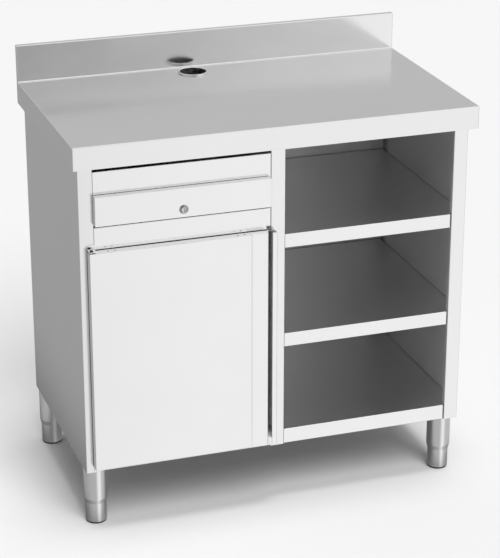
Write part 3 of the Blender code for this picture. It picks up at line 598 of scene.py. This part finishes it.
def rounded_profile(
    corners: list[tuple[float, float, float]], steps: int = 4, closed: bool = False
) -> list[tuple[float, float]]:
    """Round the corners of a profile.

    Args:
        corners: radius, height and rounding of each corner.
        steps: how many pieces each rounding has.
        closed: round the first and last corner too.

    Returns:
        Points of the rounded profile.
    """
    points: list[tuple[float, float]] = []
    count = len(corners)
    for index, (radius, height, rounding) in enumerate(corners):
        corner = Vector((radius, height))
        if rounding <= 0.0 or (not closed and index in (0, count - 1)):
            points.append((radius, height))
            continue
        start = corner + (Vector(corners[index - 1][:2]) - corner).normalized() * rounding
        end = corner + (Vector(corners[(index + 1) % count][:2]) - corner).normalized() * rounding
        for step in range(steps + 1):
            share = step / steps
            point = start.lerp(corner, share).lerp(corner.lerp(end, share), share)
            points.append((point.x, point.y))
    return points


def mark_edges(shape: bmesh.types.BMesh) -> None:
    """Mark the narrow strips of folds and broken edges, where hands and cloths rub.

    Args:
        shape: the shape.
    """
    layer = shape.faces.layers.float.new(WEAR)
    for face in shape.faces:
        longest = max(edge.calc_length() for edge in face.edges)
        face[layer] = 1.0 if face.calc_area() < WEAR_WIDTH * longest else 0.0


class Roster:
    """Bodies and slots of the frame's nodes, as the record states them."""

    def __init__(self, record: dict) -> None:
        """Read the record's bodies and sub-parts.

        Args:
            record: the record of the frame.
        """
        bodies = record["behaviour"]["bodies"]
        self.body = {node: body for body, nodes in bodies.items() for node in nodes}
        self.slot = {row["node"]: row["material_slot"] for row in record["subparts"]}


@dataclass
class SubAssembly:
    """Pieces that belong together. Build makes their shapes, and dress places and finishes them."""

    roster: Roster
    materials: dict[Finish, bpy.types.Material]
    shapes: dict[str, bmesh.types.BMesh] = field(default_factory=dict, init=False)

    def build(self) -> None:
        """Make the shapes of the pieces."""
        raise NotImplementedError

    def dress(self) -> None:
        """Place and finish the pieces."""
        raise NotImplementedError

    def material(self, finish: Finish) -> bpy.types.Material:
        """The material of a finish, drawn once.

        Args:
            finish: the finish.

        Returns:
            Its material.
        """
        if finish not in self.materials:
            self.materials[finish] = finish.material()
        return self.materials[finish]

    def place(self, node: str, make: Make, finish: Finish) -> bpy.types.Object:
        """Turn a shape into a piece that stands for a node and rides on its body.

        Args:
            node: the node that it stands for.
            make: how it is made.
            finish: its finish.

        Returns:
            The piece.
        """
        name = f"{node}_{make.value}"
        mesh = bpy.data.meshes.new(name)
        shape = self.shapes[node]
        mark_edges(shape)
        shape.to_mesh(mesh)
        shape.free()
        mesh.shade_smooth()
        mesh.set_sharp_from_angle(angle=SMOOTH)
        mesh.materials.append(self.material(finish))
        piece = bpy.data.objects.new(name, mesh)
        bpy.context.scene.collection.objects.link(piece)
        normals = piece.modifiers.new("flat_faces", "WEIGHTED_NORMAL")
        normals.keep_sharp = True
        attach(piece, self.roster.body[node])
        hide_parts(node)
        LOG.info("%s on %s: %d faces", name, self.roster.body[node], len(mesh.polygons))
        return piece


@dataclass
class Worktop(SubAssembly):
    """Folded worktop with its upstand, the collar of the cable hole and the stiffeners below."""

    fold: float = 0.0022
    fold_steps: int = 5
    edge: float = 0.0003
    collar_wall: float = 0.0035
    rim_share: float = 0.48
    rim_steps: int = 6
    collar_sides: int = 96

    def build(self) -> None:
        """Round the folded ends of the sheet and turn the collar."""
        shape = whole_copy("worktop")
        low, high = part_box("worktop")

        def on_end(edge: bmesh.types.BMEdge) -> bool:
            """Whether an edge runs round an end of the sheet, above its lower rim.

            Args:
                edge: the edge.

            Returns:
                True where it does.
            """
            first, second = (vert.co for vert in edge.verts)
            at_end = min(abs(first.x), abs(second.x)) > high.x - WELD
            return at_end and max(first.z, second.z) > low.z + self.fold and is_corner(edge)

        round_edges(shape, self.fold, self.fold_steps, on_end, clamp=False)
        round_edges(shape, self.edge, EDGE_STEPS, is_corner)
        self.shapes["worktop"] = shape
        self.build_collar()
        for side in SIDES:
            node = f"{side}_worktop_stiffener"
            self.shapes[node] = sheet_shape(node, self.edge)

    def build_collar(self) -> None:
        """Turn the raised ring with a rolled rim."""
        low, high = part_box("cable_collar")
        outside = (high.x - low.x) / 2
        inside = outside - self.collar_wall
        rim = self.collar_wall * self.rim_share
        corners = [
            (inside, low.z, self.edge),
            (inside, high.z, rim),
            (outside, high.z, rim),
            (outside, low.z, self.edge),
        ]
        profile = rounded_profile(corners, self.rim_steps, closed=True)
        shape = turned_shape(profile, self.collar_sides, closed=True)
        middle = (low + high) / 2
        bmesh.ops.translate(shape, verts=shape.verts, vec=(middle.x, middle.y, 0.0))
        self.shapes["cable_collar"] = shape

    def dress(self) -> None:
        """Give the sheet and the collar their brushed steel."""
        self.place("worktop", Make.SHEET, STEEL_ACROSS)
        self.place("cable_collar", Make.TURNED, TUBE_STEEL)
        for side in SIDES:
            self.place(f"{side}_worktop_stiffener", Make.SHEET, STEEL_DEEP)


@dataclass
class Carcass(SubAssembly):
    """Side panels, partition, back panel and front rails."""

    edge: float = 0.0003
    upright: tuple[str, ...] = ("left_side_panel", "right_side_panel", "centre_partition")
    rails: tuple[str, ...] = ("upper_front_rail", "middle_front_rail")

    def build(self) -> None:
        """Break the cut edges of each sheet."""
        for node in [*self.upright, *self.rails, "back_panel"]:
            self.shapes[node] = sheet_shape(node, self.edge)

    def dress(self) -> None:
        """Brush the panels upright and the back and rails across."""
        for node, finish in zip(self.upright, (PANEL_STEEL, SHADED_LINED_PANEL, PARTITION_STEEL)):
            self.place(node, Make.SHEET, finish)
        self.place("back_panel", Make.SHEET, BACK_STEEL)
        for node in self.rails:
            self.place(node, Make.SHEET, FRONT_ACROSS)


@dataclass
class Shelves(SubAssembly):
    """Open shelves and the floor of the cupboard."""

    edge: float = 0.0003
    nodes: tuple[str, ...] = ("upper_shelf", "middle_shelf", "lower_shelf", "cupboard_base")

    def build(self) -> None:
        """Break the cut edges of each shelf."""
        for node in self.nodes:
            self.shapes[node] = sheet_shape(node, self.edge)

    def dress(self) -> None:
        """Brush the shelves across."""
        for node in self.nodes:
            self.place(node, Make.SHEET, SHELF_STEEL)


@dataclass
class Drawer(SubAssembly):
    """Drawer front, tray and telescopic runners."""

    edge: float = 0.0003
    sheets: tuple[str, ...] = ("drawer_front", "drawer_tray")
    members: tuple[str, ...] = ("outer", "middle", "inner")

    def runners(self) -> list[str]:
        """Names of the runner members and the channel that carries the left ones."""
        runners = [f"{side}_runner_{member}" for side in SIDES for member in self.members]
        return runners + ["left_runner_support"]

    def build(self) -> None:
        """Break the cut edges of each sheet and runner."""
        for node in [*self.sheets, *self.runners()]:
            self.shapes[node] = sheet_shape(node, self.edge)

    def dress(self) -> None:
        """Give the sheets brushed steel and the runners zinc."""
        for node in self.sheets:
            self.place(node, Make.SHEET, FRONT_ACROSS)
        for node in self.runners():
            self.place(node, Make.SHEET, ZINC)


@dataclass
class Lock(SubAssembly):
    """Cam lock of the drawer."""

    sides: int = 72
    edge: float = 0.0002
    plug_gap: float = 0.0002
    rim: float = 0.0004
    cone: float = 0.0014
    dish: float = 0.0009
    barrel_radius: float = 0.0095
    bezel_back: float = 0.0017
    keyway: tuple[float, float] = (0.0016, 0.0075)
    works: tuple[str, ...] = ("lock_nut", "lock_cam", "lock_cam_screw")

    def lay(self, shape: bmesh.types.BMesh, node: str) -> bmesh.types.BMesh:
        """Lay a shape turned about Z along +Y, through the middle of a node.

        Args:
            shape: the shape, with heights that are places along Y.
            node: the node that it stands for.

        Returns:
            The same shape.
        """
        low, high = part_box(node)
        middle = (low + high) / 2
        turn = Matrix.Translation((middle.x, 0.0, middle.z)) @ Matrix.Rotation(math.radians(-90.0), 4, "X")
        bmesh.ops.transform(shape, matrix=turn, verts=shape.verts)
        return shape

    def build(self) -> None:
        """Turn the barrel, dish the face of the plug, and break the edges of the rest."""
        low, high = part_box("lock_barrel")
        plug_low, plug_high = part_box("lock_plug")
        bezel = (high.x - low.x) / 2
        bore = (plug_high.x - plug_low.x) / 2 + self.plug_gap
        seat = low.y + self.bezel_back
        corners = [
            (bore, high.y, self.edge),
            (self.barrel_radius, high.y, self.edge),
            (self.barrel_radius, seat, 0.0),
            (bezel, seat, self.edge),
            (bezel, low.y + self.cone, self.edge),
            (bore + self.rim, low.y, self.edge),
            (bore, low.y + self.rim, self.edge),
        ]
        profile = rounded_profile(corners, closed=True)
        self.shapes["lock_barrel"] = self.lay(turned_shape(profile, self.sides, closed=True), "lock_barrel")
        self.shapes["lock_plug"] = self.dished_plug(plug_low, plug_high)
        for node in self.works:
            self.shapes[node] = sheet_shape(node, self.edge)

    def dished_plug(self, low: Vector, high: Vector) -> bmesh.types.BMesh:
        """Plug whose face falls in towards its keyway.

        Args:
            low: low corner of the plug's box.
            high: high corner of the plug's box.

        Returns:
            The shape.
        """
        shape = whole_copy("lock_plug")
        middle = (low + high) / 2
        wide, tall = (size / 2 + self.edge for size in self.keyway)
        for vert in shape.verts:
            at_slot = abs(vert.co.x - middle.x) < wide and abs(vert.co.z - middle.z) < tall
            if at_slot and vert.co.y < low.y + WELD:
                vert.co.y += self.dish
        bmesh.ops.triangulate(shape, faces=[face for face in shape.faces if len(face.verts) > 4])
        round_edges(shape, self.edge, EDGE_STEPS, is_corner)
        return shape

    def dress(self) -> None:
        """Give the lock its nickel bezel, chrome plug and zinc works."""
        self.place("lock_barrel", Make.TURNED, DARK_NICKEL)
        self.place("lock_plug", Make.TURNED, CHROME)
        for node in self.works:
            self.place(node, Make.CUT, ZINC)


@dataclass
class Door(SubAssembly):
    """Door skins, handle profile with its plugs, and magnetic catch."""

    edge: float = 0.0003
    sheets: tuple[str, ...] = ("door_outer_skin", "door_inner_skin", "door_handle_profile")
    plugs: tuple[str, ...] = ("handle_end_plug", "handle_top_plug")

    def build(self) -> None:
        """Break the cut edges of each sheet, the plugs and the catch."""
        for node in [*self.sheets, *self.plugs, "door_magnet", "door_keeper"]:
            self.shapes[node] = sheet_shape(node, self.edge)

    def dress(self) -> None:
        """Brush the skins upright, and finish the plugs and the catch."""
        for node in self.sheets:
            self.place(node, Make.SHEET, FRONT_UPRIGHT)
        for node in self.plugs:
            self.place(node, Make.MOULDED, PALE_PLASTIC)
        self.place("door_magnet", Make.MOULDED, MAGNET_CASE)
        self.place("door_keeper", Make.CUT, ZINC)


@dataclass
class Hinges(SubAssembly):
    """Pivot hinges of the door: brackets and pins on the stile, bushes in the door."""

    edge: float = 0.0002
    sides: int = 48
    pin_radius: float = 0.003
    bush_bore: float = 0.0033
    bush_radius: float = 0.005
    flange: float = 0.0008
    bush_steps: int = 3
    head: float = 0.002
    head_dome: float = 0.0016
    head_steps: int = 6
    pin_tip: float = 0.0006

    def build(self) -> None:
        """Break the edges of the brackets and turn the pins and bushes."""
        for level, up in (("upper", 1.0), ("lower", -1.0)):
            self.shapes[f"{level}_hinge_bracket"] = sheet_shape(f"{level}_hinge_bracket", self.edge)
            self.build_pin(f"{level}_hinge_pin", up)
            self.build_bush(f"{level}_hinge_bush", up)

    def ends(self, node: str, up: float) -> tuple[Vector, float, float, float]:
        """Middle, outer end, inner end and radius of a hinge piece.

        Args:
            node: the piece.
            up: 1 for the upper hinge and -1 for the lower.

        Returns:
            The middle, the height of each end, and the radius.
        """
        low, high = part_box(node)
        outer, inner = (high.z, low.z) if up > 0 else (low.z, high.z)
        return (low + high) / 2, outer, inner, (high.x - low.x) / 2

    def build_pin(self, node: str, up: float) -> None:
        """Turn a pin with a domed head.

        Args:
            node: the pin.
            up: 1 for the upper hinge and -1 for the lower.
        """
        middle, outer, inner, head = self.ends(node, up)
        under = outer - up * self.head
        corners = [
            (0.0, outer, 0.0),
            (head, outer, self.head_dome),
            (head, under, self.edge),
            (self.pin_radius, under, 0.0),
            (self.pin_radius, inner, self.pin_tip),
            (0.0, inner, 0.0),
        ]
        shape = turned_shape(rounded_profile(corners, self.head_steps), self.sides)
        self.shapes[node] = self.stand(shape, middle)

    def build_bush(self, node: str, up: float) -> None:
        """Turn a flanged bush.

        Args:
            node: the bush.
            up: 1 for the upper hinge and -1 for the lower.
        """
        middle, outer, inner, collar = self.ends(node, up)
        under = outer - up * self.flange
        corners = [
            (self.bush_bore, outer, self.edge),
            (collar, outer, self.edge),
            (collar, under, self.edge),
            (self.bush_radius, under, 0.0),
            (self.bush_radius, inner, self.edge),
            (self.bush_bore, inner, self.edge),
        ]
        profile = rounded_profile(corners, self.bush_steps, closed=True)
        self.shapes[node] = self.stand(turned_shape(profile, self.sides, closed=True), middle)

    def stand(self, shape: bmesh.types.BMesh, middle: Vector) -> bmesh.types.BMesh:
        """Stand a turned shape on the pivot.

        Args:
            shape: the shape.
            middle: middle of the node that it stands for.

        Returns:
            The same shape.
        """
        bmesh.ops.translate(shape, verts=shape.verts, vec=(middle.x, middle.y, 0.0))
        return shape

    def dress(self) -> None:
        """Finish the brackets, pins and bushes."""
        for level in ("upper", "lower"):
            self.place(f"{level}_hinge_bracket", Make.SHEET, STEEL_ACROSS)
            self.place(f"{level}_hinge_pin", Make.TURNED, DARK_STEEL)
            self.place(f"{level}_hinge_bush", Make.MOULDED, BLACK_NYLON)


@dataclass
class Leg(SubAssembly):
    """One leg: plate, tube, levelling foot and pad."""

    corner: str = "front_left"
    sides: int = 80
    wall: float = 0.0036
    rim: float = 0.0009
    chamfer: float = 0.013
    top_plate: float = 0.003
    stud_radius: float = 0.008
    stud_length: float = 0.012
    foot_wall: float = 0.0025
    soft_edge: float = 0.0012
    edge: float = 0.0004

    def node(self, part: str) -> str:
        """Name of one of the leg's nodes."""
        return f"{self.corner}_{part}"

    def stand(self, part: str, corners: list[tuple[float, float, float]]) -> None:
        """Turn a part of the leg and stand it in its place.

        Args:
            part: the part.
            corners: radius, height and rounding of each corner of its profile.
        """
        low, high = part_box(self.node(part))
        shape = turned_shape(rounded_profile(corners), self.sides)
        bmesh.ops.translate(shape, verts=shape.verts, vec=((low.x + high.x) / 2, (low.y + high.y) / 2, 0.0))
        self.shapes[self.node(part)] = shape

    def build(self) -> None:
        """Turn the tube, the foot and the pad, and break the edges of the plate."""
        self.shapes[self.node("leg_plate")] = sheet_shape(self.node("leg_plate"), self.edge)
        low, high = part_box(self.node("leg_tube"))
        radius = (high.x - low.x) / 2
        bore = radius - self.wall
        top = high.z - self.stud_length
        self.stand("leg_tube", [
            (0.0, high.z, 0.0),
            (self.stud_radius, high.z, self.edge),
            (self.stud_radius, top, 0.0),
            (radius, top, self.edge),
            (radius, low.z + self.chamfer, self.soft_edge),
            (bore + self.rim, low.z, self.edge),
            (bore, low.z, self.edge),
            (bore, top - self.top_plate, 0.0),
            (0.0, top - self.top_plate, 0.0),
        ])
        low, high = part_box(self.node("leg_foot"))
        radius = (high.x - low.x) / 2
        inside = radius - self.foot_wall
        floor = low.z + self.foot_wall
        self.stand("leg_foot", [
            (0.0, floor, 0.0),
            (inside, floor, 0.0),
            (inside, high.z, self.edge),
            (radius, high.z, self.edge),
            (radius, low.z, self.soft_edge),
            (0.0, low.z, 0.0),
        ])
        low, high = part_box(self.node("foot_pad"))
        radius = (high.x - low.x) / 2
        self.stand("foot_pad", [
            (0.0, high.z, 0.0),
            (radius, high.z, self.edge),
            (radius, low.z, self.soft_edge),
            (0.0, low.z, 0.0),
        ])

    def dress(self) -> None:
        """Finish the tube and foot in drawn steel and the pad in black plastic."""
        self.place(self.node("leg_plate"), Make.CUT, ZINC)
        self.place(self.node("leg_tube"), Make.TURNED, TUBE_STEEL)
        self.place(self.node("leg_foot"), Make.TURNED, TUBE_STEEL)
        self.place(self.node("foot_pad"), Make.MOULDED, BLACK_PLASTIC)


@dataclass(frozen=True)
class Lamp:
    """A broad, even lamp that lights the floor and leaves no glint in the steel."""

    name: str
    strength: float
    angle: float
    tilt: tuple[float, float]

    def build(self) -> None:
        """Hang the lamp. The tilt leans it to the front and to the right."""
        lamp = bpy.data.lights.new(self.name, "SUN")
        lamp.angle = math.radians(self.angle)
        lamp.energy = self.strength
        holder = bpy.data.objects.new(self.name, lamp)
        holder.rotation_euler = (math.radians(self.tilt[0]), math.radians(self.tilt[1]), 0.0)
        holder.visible_glossy = False
        bpy.context.scene.collection.objects.link(holder)


@dataclass
class Studio:
    """Pale floor, soft light and the camera.

    Bearings in the sky are degrees from the front, positive to the right, and heights in it run from -1 to 1.
    """

    floor_size: float = 60.0
    floor_drop: float = 0.0004
    floor_colour: float = 0.82
    stand: float = 0.52
    shade_front: tuple[float, float] = (-0.36, -0.2)
    shade_reach: tuple[float, float] = (0.2, 0.6)
    shade_under: tuple[float, float] = (0.15, 0.1)
    horizon: tuple[float, float] = (-0.12, 0.05)
    glow_left: tuple[float, float] = (-8.0, 18.0)
    glow_right: tuple[float, float] = (29.0, 54.0)
    ground_left: tuple[float, float] = (-150.0, -20.0)
    ground_dim: tuple[float, float] = (0.39, 0.52)
    ground_glow: float = 1.04
    ground_side: float = 0.6
    sky_turn: float = 0.3
    sky_right: tuple[float, float] = (9.0, 23.2)
    sky_front: tuple[float, float] = (0.31, 0.82)
    side_left: tuple[float, float] = (-50.0, -15.0)
    side_glow: float = 1.0
    side_rise: tuple[float, float] = (-0.21, -0.11)
    side_fall: tuple[float, float] = (0.05, 0.25)
    band_right: tuple[float, float] = (0.0, 10.0)
    band_glow: tuple[float, float] = (0.6, 1.4)
    band_rise: tuple[float, float] = (0.325, 0.365)
    band_fall: tuple[float, float] = (0.44, 0.54)
    sky_high: float = 1.0
    sky_back: float = 0.58
    sky_light: float = 0.3
    lamps: tuple[Lamp, ...] = (
        Lamp("overhead", strength=1.3, angle=20.0, tilt=(2.0, 3.0)),
        Lamp("front", strength=1.7, angle=36.0, tilt=(39.0, 4.0)),
    )
    camera_place: tuple[float, float, float] = (-1.6187, -4.8296, 2.5854)
    camera_tilt: float = 68.01
    camera_turn: float = -18.718
    camera_lens: float = 131.3

    def build(self) -> None:
        """Set up the floor, the sky, the lamps and the camera."""
        bpy.context.scene.view_settings.view_transform = "Standard"
        self.build_floor()
        self.build_sky()
        for lamp in self.lamps:
            lamp.build()
        self.build_camera()

    def build_floor(self) -> None:
        """Lay a pale floor that keeps the shadow. The steel sees through it but for a painted shadow by the
        counter.
        """
        shape = bmesh.new()
        bmesh.ops.create_grid(shape, x_segments=1, y_segments=1, size=self.floor_size / 2)
        mesh = bpy.data.meshes.new("floor")
        shape.to_mesh(mesh)
        shape.free()
        floor = bpy.data.objects.new("floor", mesh)
        floor.location.z = -self.floor_drop
        bpy.context.scene.collection.objects.link(floor)
        material, graph = new_graph("pale_floor")
        mirrored = Value(graph, graph.node("ShaderNodeLightPath").outputs["Is Glossy Ray"])
        place = graph.node("ShaderNodeNewGeometry").outputs["Position"]
        parts = graph.node("ShaderNodeSeparateXYZ", {}, {"Vector": place})
        right, depth = (Value(graph, parts.outputs[axis]) for axis in "XY")
        # Painted shadow: glossy rays see the floor as a black patch under and beside the counter, fading out
        # to the sides and towards the front. Elsewhere they see the sky through it.
        beside = graph.maths("ABSOLUTE", right, 0.0) - self.stand
        reach, near = self.shade_reach
        inside, under = self.shade_under
        painted_shade_share = graph.ramp(beside, 0.0, reach, near, 0.0) + graph.ramp(beside, -inside, 0.0, under, 0.0)
        painted_shade_share = painted_shade_share * graph.ramp(depth, *self.shade_front, 0.0, 1.0)
        graph.surface({
            "Base Color": graph.mix(mirrored, (self.floor_colour,) * 3, (0.0, 0.0, 0.0)),
            "Roughness": 1.0,
            "Specular IOR Level": 0.0,
            "Alpha": 1.0 - mirrored * (1.0 - painted_shade_share),
        })
        mesh.materials.append(material)

    def build_sky(self) -> None:
        """Light the room evenly, show it as white, and give the steel lighter and darker zones to mirror."""
        world = bpy.data.worlds.new("studio")
        world.use_nodes = True
        bpy.context.scene.world = world
        graph = Graph(world.node_tree)
        path = graph.node("ShaderNodeLightPath")
        way = graph.node("ShaderNodeTexCoord").outputs["Generated"]
        parts = graph.node("ShaderNodeSeparateXYZ", {}, {"Vector": way})
        right, depth, up = (Value(graph, parts.outputs[axis]) for axis in "XYZ")
        around = graph.maths("ARCTAN2", right, depth * -1.0) * math.degrees(1.0)
        ground = graph.ramp(around, *self.ground_left, *self.ground_dim)
        ground = graph.ramp(around, *self.glow_left, ground, self.ground_glow)
        ground = ground + graph.ramp(around, *self.glow_right, 0.0, self.ground_side - self.ground_glow)
        low = graph.ramp(around, *self.sky_right, *self.sky_front)
        band = graph.ramp(around, *self.band_right, *self.band_glow)
        front = graph.ramp(up, *self.band_rise, low, band)
        front = graph.ramp(up, *self.band_fall, front, self.sky_high)
        sky = graph.ramp(depth, -self.sky_turn, self.sky_turn, front, self.sky_back)
        side = graph.ramp(around, *self.side_left, self.side_glow, 0.0)
        side = side * graph.ramp(up, *self.side_rise, 0.0, 1.0) * graph.ramp(up, *self.side_fall, 1.0, 0.0)
        side = side * graph.ramp(depth, -self.sky_turn, self.sky_turn, 1.0, 0.0)
        in_steel = graph.ramp(up, *self.horizon, ground, sky) + side
        seen = Value(graph, path.outputs["Is Camera Ray"])
        mirrored = Value(graph, path.outputs["Is Glossy Ray"])
        light = seen + mirrored * in_steel + (1.0 - seen - mirrored) * self.sky_light
        shown = graph.node("ShaderNodeBackground", {}, {"Color": light})
        graph.node("ShaderNodeOutputWorld", {}, {"Surface": shown.outputs["Background"]})

    def build_camera(self) -> None:
        """Stand the camera where the photograph was taken from."""
        camera = bpy.data.cameras.new("camera")
        camera.lens = self.camera_lens
        holder = bpy.data.objects.new("camera", camera)
        holder.location = self.camera_place
        holder.rotation_euler = (math.radians(self.camera_tilt), 0.0, math.radians(self.camera_turn))
        bpy.context.scene.collection.objects.link(holder)
        bpy.context.scene.camera = holder


def main() -> None:
    """Build the counter's sub-assemblies in order, then the studio."""
    logging.basicConfig(level=logging.INFO, format="%(name)s: %(message)s")
    roster = Roster(frame["record"])
    materials: dict[Finish, bpy.types.Material] = {}
    kinds = (Worktop, Carcass, Shelves, Drawer, Lock, Door, Hinges)
    parts: list[SubAssembly] = [kind(roster, materials) for kind in kinds]
    corners = [f"{end}_{side}" for end in ("front", "rear") for side in SIDES]
    parts += [Leg(roster, materials, corner=corner) for corner in corners]
    for part in parts:
        part.build()
        part.dress()
    Studio().build()


if __name__ == "__main__":
    main()
